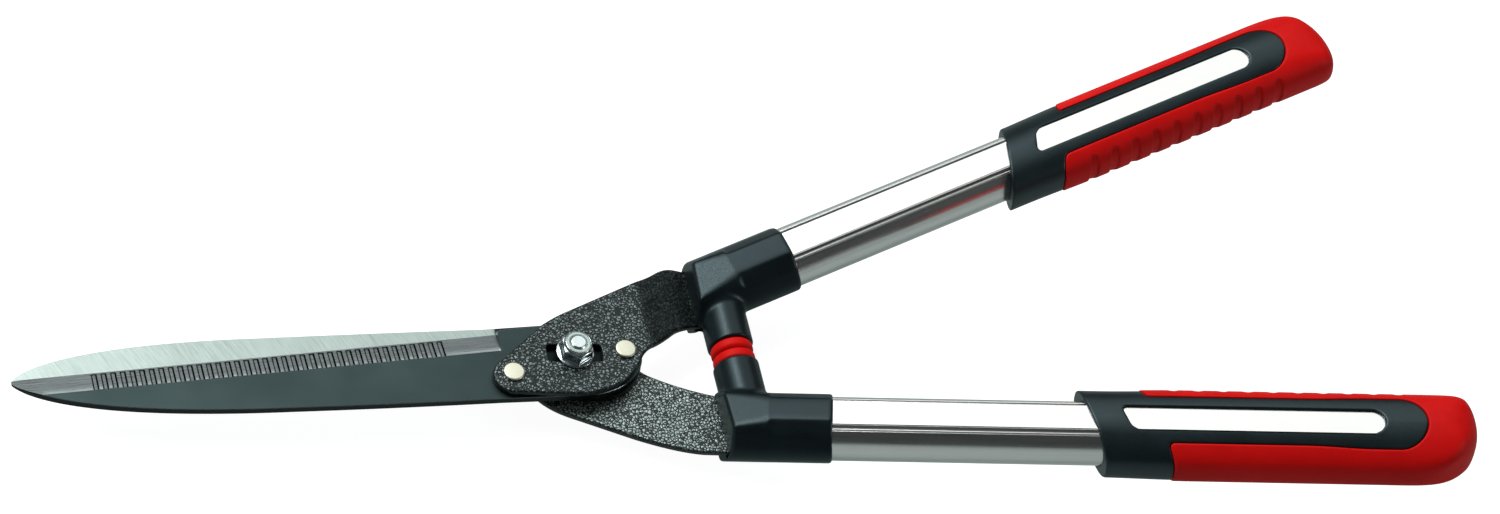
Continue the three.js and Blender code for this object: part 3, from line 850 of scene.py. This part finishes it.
def sockets():
    tang_middle = REAR_PLATE_BASE + PLATE / 2

    def field(x, y, z):
        s, t, h = to_handle(x, y, z)
        body = cut(socket_section(s, t, h), s - SOCKET_TO, 1.8)
        body = cut(body, SOCKET_FRONT_X - x, 1.6)
        across = np.hypot(x - BOSS_X, z - BOSS_Z)
        boss = cut(across - BOSS_RADIUS, cut(BOSS_END_Y - y, y - 30, 0.8), 1.0)
        whole = join(body, boss, 2.6)
        bore = cut(np.hypot(t, h) - TUBE_RADIUS - 0.1, np.abs(h) - TUBE_FLAT - 0.1, 0.3)
        bore = np.maximum(bore, TUBE_FROM - 0.3 - s)
        whole = cut(whole, -bore, 0.5)
        pocket = np.maximum(np.abs(y - 32.95) - 16.2, np.abs(z - tang_middle) - 1.9)
        pocket = np.maximum(pocket, x - 66)
        return cut(whole, -pocket, 0.4)

    shape = surface(field, (61, 5, -8), (116, 66, 36), 0.5)
    both_sides("socket_shell", "socket", shape, both(SOCKET_PLASTIC))


def bumpers():
    """Rubber disc with a slightly crowned face, on a stem that sits in the socket's boss."""
    base = 0.15
    back = high("upper_bumper").y
    profile = rounded([
        (0, base), (BUMPER_RADIUS - 1.2, base + 0.05), (BUMPER_RADIUS, base + 1.1),
        (BUMPER_RADIUS, BOSS_END_Y - 0.9), (BUMPER_RADIUS - 0.8, BOSS_END_Y - 0.1),
        (4, BOSS_END_Y - 0.1), (4, back - 0.8), (3.4, back), (0, back),
    ], 0.7)
    points, faces = turned(profile, 96)
    points = np.stack([points[:, 0] + BOSS_X, points[:, 2], -points[:, 1] + BOSS_Z], 1)
    both_sides("bumper_rubber", "bumper", (points, faces), BUMPER, 50)


def handle_fasteners():
    """Pin through socket and tang, and the blind rivet through the back of socket and tube."""
    pin = turned(rounded([(0, -14.7), (1.9, -14.7), (2, -14.3), (2, 8), (0, 8)], 0.3), 32)
    shape = on_handle(shifted(pin, [24, 0, 0]))
    both_sides("tang_pin_steel", "tang_pin", shape, both(ZINC), 50)
    head = -15.2
    rivet = turned(rounded([
        (0, head - 0.7), (1.3, head - 0.7), (1.5, head - 1.2), (3.2, head - 1.1),
        (4, head - 0.4), (4, head), (2, head), (2, head + 5), (0, head + 5),
    ], 0.35), 48)
    shape = on_handle(shifted(rivet, [50, 0, 0]))
    both_sides("tube_rivet_steel", "tube_rivet", shape, both(ZINC), 50)


# ---------------- grips


def grip_section():
    outer, inner, height = GRIP_OUTER, -GRIP_INNER, GRIP_CROWN
    return chain(
        (0, -height),
        [(11, -height), (outer + 1, -height * 0.85), (outer, 0)],
        [(outer - 0.7, height * 0.6), (7.5, height * 0.93), (0, height)],
        [(-6, height), (inner, height * 0.95), (inner, 0)],
        [(inner, -height * 0.95), (-6, -height), (0, -height)],
        steps=30,
    )


def grip_plan():
    outer, inner, end = GRIP_OUTER + 0.6, -GRIP_INNER - 0.6, GRIP_END
    return path(
        (130, inner),
        bezier([(end - 16, inner), (end - 5, inner), (end, -13), (end, -5)], 30),
        bezier([(end, -5), (end, 7), (end - 16, outer), (end - 36, outer)], 40),
        (end - 36, outer),
        (130, outer),
    )


def grip_side():
    height, end = GRIP_CROWN + 0.3, GRIP_END
    return path(
        (130, -height),
        chain(
            (end - 10, -height),
            [(end - 1, -height), (end, -10), (end, -4)],
            [(end, 7), (end - 10, height), (end - 30, height)],
            steps=30,
        ),
        (130, height),
    )


def grip_window():
    half, start = WINDOW_HALF, WINDOW_FROM
    return path(
        bezier([(start - 1.3, -half + 2.6), (start - 2, -half), (start + 1, -half)], 8),
        arc((WINDOW_END, 0), half, -math.pi / 2, math.pi / 2, 30),
        chain((start + 6.5, half), [(start + 2.5, half), (start + 1, half - 3.5)]),
    )


class Grip:
    """Fields of the moulded grip in the handle's own frame: along, outward, to the front."""

    def __init__(self):
        self.section = PlaneField(grip_section(), 0.4)
        self.plan = PlaneField(grip_plan(), 0.5, 6)
        self.side = PlaneField(grip_side(), 0.5, 6)
        self.window = PlaneField(grip_window(), 0.4)

    def body(self, s, t, h):
        taper = 1 + 0.045 * smoothstep(212, 176, s)
        end = cut(self.side(s, h), self.plan(s, t), 9.0)
        return cut(self.section(t * taper, h), end, 3.0)

    def front(self, s, t):
        """The slanting end of the collar, on the side of the blades."""
        return (COLLAR_AT + COLLAR_SLOPE * t - s) * 0.944

    def panel(self, s, t):
        """The part of the plan that is black: the collar and the long panel joined to it."""
        collar = (s - SKIN_AT - SKIN_SLOPE * t) * 0.952
        half = PANEL_HALF + PANEL_BULGE * smoothstep(265, 295, s)
        strip = np.hypot(np.maximum(s - PANEL_END, 0), t - PANEL_MIDDLE) - half
        return join(collar, strip, 2.5)

    def grooves(self, s, t):
        """Grooves across the inner side, each with a round end."""
        k = np.clip(np.round((s - GROOVE_AT) / GROOVE_PITCH), 0, GROOVES - 1)
        off = s - GROOVE_AT - k * GROOVE_PITCH
        end = -18.6
        return np.where(t > end, np.hypot(off, t - end), np.abs(off)) - 2.1


def grips():
    grip = Grip()

    def core(s, t, h):
        outside = grip.body(s, t, h)
        panel = grip.panel(s, t)
        plateau = cut(outside + SKIN_PROUD, panel, 0.4)
        whole = join(plateau, outside + SKIN_DEPTH + 0.4, 0.4)
        whole = cut(whole, grip.front(s, t), 0.9)
        bore = cut(np.hypot(t, h) - TUBE_RADIUS, np.abs(h) - TUBE_FLAT, 0.3)
        bore = np.maximum(bore, s - TUBE_TO - 0.3)
        whole = cut(whole, -bore, 0.4)
        chamfer = 1.3 * np.maximum(np.abs(h) - WINDOW_CHAMFER, 0)
        window = np.maximum(grip.window(s, t) - chamfer, TUBE_FLAT - 1.5 - np.abs(h))
        return cut(whole, -window, 0.5)

    def skin(s, t, h):
        outside = grip.body(s, t, h)
        groove = np.maximum(grip.grooves(s, t), -(outside + 0.9))
        outside = cut(outside, -groove, 0.5)
        shell = cut(outside, -(grip.body(s, t, h) + SKIN_DEPTH), 0.3)
        return cut(shell, 0.3 - grip.panel(s, t), 1.0)

    highest = (GRIP_TO + 6, 21, 16)
    shape = on_handle(surface(core, (165, -22, -16), highest, 0.5))
    both_sides("grip_core_plastic", "grip_core", shape, both(GRIP_PLASTIC))
    shape = on_handle(surface(skin, (190, -22, -16), highest, 0.5))
    both_sides("grip_skin_rubber", "grip_skin", shape, both(RED_RUBBER))


# ---------------- materials


class Nodes:
    """A short way to build one material's node tree."""

    def __init__(self, name, roughness=0.5, metallic=0.0):
        self.material = bpy.data.materials.new(name)
        self.material.use_nodes = True
        self.tree = self.material.node_tree
        self.shader = self.tree.nodes["Principled BSDF"]
        self.set("Roughness", roughness)
        self.set("Metallic", metallic)
        self.place = self.add("ShaderNodeTexCoord").outputs["Object"]

    def set(self, name, value):
        """Links or sets an input of the material's shader."""
        self.feed(self.shader.inputs[name], value)

    def feed(self, socket, value):
        if isinstance(value, bpy.types.NodeSocket):
            self.tree.links.new(value, socket)
        else:
            socket.default_value = value

    def add(self, kind, inputs=None, **settings):
        """A new node, with its inputs linked or set by name."""
        node = self.tree.nodes.new(kind)
        for name, value in settings.items():
            setattr(node, name, value)
        for name, value in (inputs or {}).items():
            self.feed(node.inputs[name], value)
        return node

    def stretched(self, scale, turn):
        """Object coordinates turned and then scaled, for streaks along one direction."""
        place = {"Vector": self.place, "Rotation": turn}
        place = self.add("ShaderNodeMapping", place, vector_type="TEXTURE").outputs[0]
        return self.add("ShaderNodeMapping", {"Vector": place, "Scale": scale}).outputs[0]

    def noise(self, size, detail=3.0, roughness=0.55, place=None):
        """Noise whose blotches are about this many mm across."""
        pattern = {"Scale": 1 / (size * MM), "Detail": detail, "Roughness": roughness}
        pattern["Vector"] = place or self.place
        return self.add("ShaderNodeTexNoise", pattern).outputs["Fac"]

    def cells(self, size, place):
        """Distance from the borders of random cells of about this many mm."""
        pattern = {"Vector": place, "Scale": 1 / (size * MM)}
        node = self.add("ShaderNodeTexVoronoi", pattern, feature="DISTANCE_TO_EDGE")
        return node.outputs["Distance"]

    def ramp(self, value, *stops):
        """Colour ramp from (position, colour or number) pairs."""
        node = self.add("ShaderNodeValToRGB")
        self.feed(node.inputs[0], value)
        elements = node.color_ramp.elements
        while len(elements) < len(stops):
            elements.new(0.5)
        for element, (position, colour) in zip(elements, stops):
            element.position = position
            if isinstance(colour, (int, float)):
                colour = (colour, colour, colour)
            element.color = (*colour, 1)
        return node.outputs["Color"]

    def mix(self, share, a, b):
        node = self.add("ShaderNodeMix", data_type="RGBA")
        self.feed(node.inputs[0], share)
        for index, colour in ((6, a), (7, b)):
            if isinstance(colour, tuple) and len(colour) == 3:
                colour = (*colour, 1)
            self.feed(node.inputs[index], colour)
        return node.outputs[2]

    def math(self, operation, a, b=0.0, c=0.0):
        node = self.add("ShaderNodeMath", operation=operation)
        for socket, value in zip(node.inputs, (a, b, c)):
            self.feed(socket, value)
        return node.outputs[0]

    def part(self, vector, axis):
        return self.add("ShaderNodeSeparateXYZ", {"Vector": vector}).outputs[axis]

    def facing(self, axis="Z"):
        """How squarely the surface faces along an axis of the piece: from 0 to 1."""
        normal = self.add("ShaderNodeTexCoord").outputs["Normal"]
        return self.math("ABSOLUTE", self.part(normal, axis))

    def bump(self, height, strength, distance):
        """Adds relief, its depth in mm, to what the material has already."""
        relief = {"Height": height, "Strength": strength, "Distance": distance * MM}
        node = self.add("ShaderNodeBump", relief)
        previous = self.shader.inputs["Normal"]
        if previous.is_linked:
            self.feed(node.inputs["Normal"], previous.links[0].from_socket)
        self.feed(previous, node.outputs[0])


def ground_steel():
    """Rear blade: surface-ground face with fine diagonal scratches, painted shade on its side walls
    and a painted shadow on the tang near the pivot.
    """
    n = Nodes("ground_steel", 0.36, 1.0)
    grain = n.noise(1, 4, 0.7, n.stretched((0.10, 3.2, 1), (0, 0, 118 * RAD)))
    cloud = n.noise(26, 2)
    tone = n.ramp(grain, (0.3, (0.21, 0.25, 0.235)), (0.7, (0.45, 0.49, 0.465)))
    tone = n.mix(n.ramp(cloud, (0.3, 0.0), (0.75, 0.35)), tone, (0.46, 0.51, 0.485))
    # Painted shadow: from about 31 mm before the pivot onwards, on the tang under the front plate,
    # the blade goes near black.
    tang = n.ramp(n.math("MULTIPLY_ADD", n.part(n.place, "X"), 100.0, 3.2), (0.0, 1.0), (0.1, 0.0))
    # Painted shade: faces turned away from Z go near black as well.
    outside_painted_shade = n.math("MULTIPLY", n.ramp(n.facing(), (0.35, 0.0), (0.8, 1.0)), tang)
    n.set("Base Color", n.mix(outside_painted_shade, (0.02, 0.025, 0.025), tone))
    n.set("Roughness", n.ramp(grain, (0.25, 0.32), (0.75, 0.5)))
    n.bump(grain, 0.25, 0.03)
    return n.material


def dark_steel():
    """Front blade: dark phosphated body and bright ground bevel, with painted shade on its side
    walls and groove walls and a painted shadow near the pivot under its plate.
    """
    n = Nodes("dark_steel", 0.4, 1.0)
    grain = n.noise(1, 4, 0.65, n.stretched((0.05, 5.0, 1), (0, 0, 3.6 * RAD)))
    cloud = n.noise(30, 2)
    body = n.ramp(cloud, (0.25, (0.033, 0.047, 0.048)), (0.8, (0.048, 0.066, 0.066)))
    bright = n.ramp(grain, (0.3, (0.64, 0.665, 0.685)), (0.7, (0.82, 0.85, 0.87)))
    level = n.facing()
    is_body = n.ramp(level, (0.975, 0.0), (0.99, 1.0))
    # Painted shade: faces turned away from Z, and walls that face along X such as the groove walls,
    # go near black.
    painted_shade_mask = n.math("MAXIMUM", n.ramp(level, (0.5, 1.0), (0.8, 0.0)),
                     n.ramp(n.facing("X"), (0.25, 0.0), (0.4, 1.0)))
    # Painted shadow: within about 22 to 24 mm of the pivot, where the plate covers the blade, it
    # goes near black.
    distance = n.add("ShaderNodeVectorMath", {"Vector": n.place}, operation="LENGTH")
    near_pivot = n.math("MULTIPLY", distance.outputs["Value"], 30.0)
    painted_shadow_under_plate = n.ramp(near_pivot, (0.66, 1.0), (0.72, 0.0))
    painted_shade_mask = n.math("MAXIMUM", painted_shade_mask, painted_shadow_under_plate)
    tone = n.mix(is_body, bright, body)
    n.set("Base Color", n.mix(painted_shade_mask, tone, (0.012, 0.015, 0.015)))
    n.set("Roughness", n.mix(is_body, n.ramp(grain, (0.3, 0.24), (0.7, 0.36)), (0.42, 0.42, 0.42)))
    n.bump(grain, 0.2, 0.02)
    return n.material


def hammertone(name, dark, light, share):
    """Hammer-finish enamel: silver cells parted by dark lines, over a dimpled surface, with painted
    shade where the surface turns away from Z.
    """
    n = Nodes(name, 0.34, 0.35)
    warp = n.add("ShaderNodeVectorMath", operation="ADD")
    n.feed(warp.inputs[0], n.place)
    ripple = n.add("ShaderNodeTexNoise", {"Vector": n.place, "Scale": 900})
    bend = n.add("ShaderNodeVectorMath", operation="SCALE")
    n.feed(bend.inputs[0], ripple.outputs["Color"])
    n.feed(bend.inputs["Scale"], 0.0012)
    n.feed(warp.inputs[1], bend.outputs[0])
    cells = n.cells(1.45, warp.outputs[0])
    flecks = n.noise(0.9, 2, 0.6)
    mixed = n.math("MULTIPLY", n.ramp(cells, (0.05, 0.1), (0.22, 1.0)), flecks)
    tone = n.ramp(mixed, (share - 0.12, dark), (share + 0.14, light))
    # Painted shade: the colour goes to the dark tone where the surface turns away from Z, on the
    # ramps, bends and edges.
    edge = n.ramp(n.facing(), (0.3, 0.85), (0.955, 0.6), (0.988, 0.0))
    n.set("Base Color", n.mix(edge, tone, dark))
    n.set("Metallic", n.ramp(mixed, (share - 0.08, 0.1), (share + 0.1, 0.85)))
    n.set("Roughness", n.ramp(mixed, (share - 0.1, 0.28), (share + 0.15, 0.45)))
    n.bump(cells, 0.7, 0.4)
    n.bump(flecks, 0.4, 0.15)
    n.set("Specular IOR Level", 0.3)
    return n.material


def plated(name, low_tone, high_tone, rough):
    """Zinc or nickel plate with faint clouding and fine tool marks."""
    n = Nodes(name, rough, 1.0)
    cloud = n.noise(2.4, 4, 0.65)
    marks = n.noise(0.25, 2)
    n.set("Base Color", n.ramp(cloud, (0.3, low_tone), (0.7, high_tone)))
    n.set("Roughness", n.ramp(cloud, (0.3, rough - 0.05), (0.75, rough + 0.12)))
    n.bump(marks, 0.2, 0.03)
    return n.material


def nylon():
    n = Nodes("nylon", 0.42)
    cloud = n.noise(1.2, 3)
    n.set("Base Color", n.ramp(cloud, (0.3, (0.42, 0.50, 0.46)), (0.75, (0.58, 0.66, 0.61))))
    n.bump(cloud, 0.15, 0.05)
    n.set("Subsurface Weight", 0.15)
    n.set("Subsurface Scale", 0.001)
    return n.material


def anodised(side):
    """Satin anodised aluminium drawn along the handle, with faint lengthwise lines."""
    sign = 1 if side == "upper" else -1
    n = Nodes(f"anodised_{side}", 0.3, 1.0)
    place = n.stretched((0.02, 2.0, 2.0), (0, -CRANK, sign * SPREAD))
    lines = n.noise(1, 4, 0.7, place)
    cloud = n.noise(9, 3)
    tone = n.ramp(lines, (0.3, (0.64, 0.60, 0.59)), (0.7, (0.73, 0.685, 0.675)))
    n.set("Base Color", n.mix(n.ramp(cloud, (0.3, 0.0), (0.8, 0.3)), tone, (0.76, 0.715, 0.70)))
    n.set("Roughness", n.ramp(lines, (0.25, 0.18), (0.75, 0.28)))
    n.bump(lines, 0.12, 0.02)
    n.bump(n.noise(0.3, 2), 0.08, 0.02)
    return n.material


def moulded(name, dark, light, rough, grain, relief, shine):
    """Glass-filled plastic or rubber with a fine spark-eroded grain."""
    n = Nodes(name, rough)
    cloud = n.noise(14, 3)
    fine = n.noise(grain, 3, 0.6)
    tone = n.ramp(cloud, (0.3, dark), (0.75, light))
    n.set("Base Color", n.mix(n.ramp(fine, (0.42, 0.0), (0.7, 0.35)), tone, light))
    n.set("Roughness", n.ramp(fine, (0.3, rough - 0.08), (0.7, rough + 0.1)))
    n.bump(fine, 0.4, relief)
    n.set("Specular IOR Level", shine)
    n.set("Specular Tint", (0.72, 0.92, 1.0, 1))
    return n.material


def rubber(name, dark, light, grain):
    n = Nodes(name, 0.55)
    cloud = n.noise(20, 3)
    fine = n.noise(grain, 3, 0.6)
    n.set("Base Color", n.ramp(cloud, (0.3, dark), (0.75, light)))
    n.set("Roughness", n.ramp(fine, (0.3, 0.46), (0.7, 0.64)))
    n.bump(fine, 0.35, 0.08)
    n.set("Specular IOR Level", 0.1)
    return n.material


def both(material):
    return {"upper": material, "lower": material}


GROUND_STEEL = ground_steel()
DARK_STEEL = dark_steel()
HAMMERTONE = hammertone("hammertone", (0.003, 0.005, 0.006), (0.24, 0.28, 0.28), 0.42)
HAMMERTONE_LIGHT = hammertone(
    "hammertone_light", (0.010, 0.014, 0.014), (0.42, 0.48, 0.46), 0.34)
RIVET = plated("rivet_nickel", (0.66, 0.62, 0.50), (0.74, 0.70, 0.58), 0.42)
ZINC = plated("zinc_plate", (0.40, 0.43, 0.45), (0.56, 0.60, 0.62), 0.2)
BOLT = plated("zinc_bolt", (0.52, 0.55, 0.56), (0.68, 0.71, 0.72), 0.28)
NYLON = nylon()
TUBE = {side: anodised(side) for side in ("upper", "lower")}
SOCKET_PLASTIC = moulded(
    "socket_plastic", (0.002, 0.004, 0.005), (0.006, 0.009, 0.011), 0.36, 0.5, 0.05, 0.32)
GRIP_PLASTIC = moulded(
    "grip_plastic", (0.003, 0.005, 0.006), (0.007, 0.011, 0.013), 0.38, 0.45, 0.06, 0.45)
RED_RUBBER = rubber("red_rubber", (0.58, 0.003, 0.003), (0.68, 0.005, 0.004), 0.5)
BUMPER = both(rubber("red_bumper", (0.58, 0.003, 0.003), (0.68, 0.006, 0.004), 0.5))


def cad_materials():
    """The hidden CAD pieces take the same finishes as the detailed ones that stand for them."""
    finish = {
        "front_blade": DARK_STEEL, "rear_blade": GROUND_STEEL, "front_arm": HAMMERTONE,
        "rear_arm": HAMMERTONE_LIGHT, "pivot_bolt": BOLT, "nut_ring": NYLON,
    }
    kinds = {
        "rivet": RIVET, "tube": TUBE["upper"], "bumper": BUMPER["upper"], "core": GRIP_PLASTIC,
        "skin": RED_RUBBER, "socket": SOCKET_PLASTIC,
    }
    for name, obj in frame["nodes"].items():
        last = name.split("_")[-1]
        material = finish.get(name) or kinds.get(last) or ZINC
        if last.isdigit():
            material = RIVET
        for slot in obj.material_slots:
            slot.material = material


# ---------------- studio


def floor_material():
    """Pale matt paper, white to the camera but shining only dimly on the object."""
    n = Nodes("pale_floor", 0.9)
    paper = n.noise(4, 3)
    n.set("Base Color", n.ramp(paper, (0.3, 0.26), (0.7, 0.27)))
    seen = n.add("ShaderNodeLightPath").outputs["Is Camera Ray"]
    n.set("Emission Color", n.ramp(seen, (0.0, FLOOR_TINT), (1.0, 1.0)))
    n.set("Emission Strength", n.ramp(seen, (0.0, FLOOR_GLOW), (1.0, FLOOR_WHITE)))
    return n.material


def softbox(name, azimuth, elevation, distance, width, height, power):
    """Rectangular light that faces the object from a direction given in degrees."""
    light = bpy.data.lights.new(name, "AREA")
    light.shape = "RECTANGLE"
    light.size = width
    light.size_y = height
    light.energy = power
    light.color = LAMP_TINT
    obj = bpy.data.objects.new(name, light)
    towards = direction(azimuth * RAD, elevation * RAD)
    obj.location = Vector(LAMP_TARGET) + towards * distance
    obj.rotation_euler = towards.to_track_quat("Z", "Y").to_euler()
    bpy.context.scene.collection.objects.link(obj)


def floor():
    height = min(low(node).z for node in frame["nodes"]) * MM - 0.004
    size = 8.0
    mesh = bpy.data.meshes.new("floor")
    corners = [(-size, -size), (size, -size), (size, size), (-size, size)]
    mesh.from_pydata([(x, y, height) for x, y in corners], [], [(0, 1, 2, 3)])
    mesh.materials.append(floor_material())
    obj = bpy.data.objects.new("floor", mesh)
    bpy.context.scene.collection.objects.link(obj)


def world():
    """White behind the object, but only a dim glow on it."""
    studio = bpy.data.worlds.new("studio")
    studio.use_nodes = True
    tree = studio.node_tree
    glow = tree.nodes["Background"]
    glow.inputs["Color"].default_value = WORLD_TINT
    glow.inputs["Strength"].default_value = WORLD_GLOW
    backdrop = tree.nodes.new("ShaderNodeBackground")
    backdrop.inputs["Color"].default_value = (1, 1, 1, 1)
    backdrop.inputs["Strength"].default_value = BACKDROP
    seen = tree.nodes.new("ShaderNodeLightPath").outputs["Is Camera Ray"]
    mix = tree.nodes.new("ShaderNodeMixShader")
    tree.links.new(seen, mix.inputs[0])
    tree.links.new(glow.outputs[0], mix.inputs[1])
    tree.links.new(backdrop.outputs[0], mix.inputs[2])
    tree.links.new(mix.outputs[0], tree.nodes["World Output"].inputs["Surface"])
    bpy.context.scene.world = studio


def lights():
    softbox("overhead", 92, 54, 1.7, 3.2, 1.0, 15.5)
    softbox("left", 170, 45, 1.8, 0.7, 0.7, 10)
    softbox("key", 130, 55, 2.4, 0.9, 0.9, 34)
    softbox("front", -28, 25, 2.2, 0.5, 0.4, 8)


def camera():
    """The camera that sees the shears as in the reference view."""
    back = direction(CAMERA_TURN, CAMERA_RISE)
    level = Vector((-math.sin(CAMERA_TURN), math.cos(CAMERA_TURN), 0))
    up = back.cross(level)
    right = math.cos(CAMERA_ROLL) * level + math.sin(CAMERA_ROLL) * up
    above = math.cos(CAMERA_ROLL) * up - math.sin(CAMERA_ROLL) * level
    data = bpy.data.cameras.new("camera")
    data.lens = CAMERA_LENS
    data.sensor_width = 36
    data.shift_x, data.shift_y = CAMERA_SHIFT
    data.clip_start = 0.05
    obj = bpy.data.objects.new("camera", data)
    obj.matrix_world = carrying(right, above, back, CAMERA_PLACE * MM)
    bpy.context.scene.collection.objects.link(obj)
    bpy.context.scene.camera = obj


# ---------------- assembly

blades()
front_arm()
rear_arm()
rivets()
lock_nut()
nut_ring()
washer()
pivot_bolt()
tubes()
sockets()
bumpers()
handle_fasteners()
grips()
cad_materials()
floor()
world()
lights()
camera()
bpy.context.scene.view_settings.view_transform = "Standard"
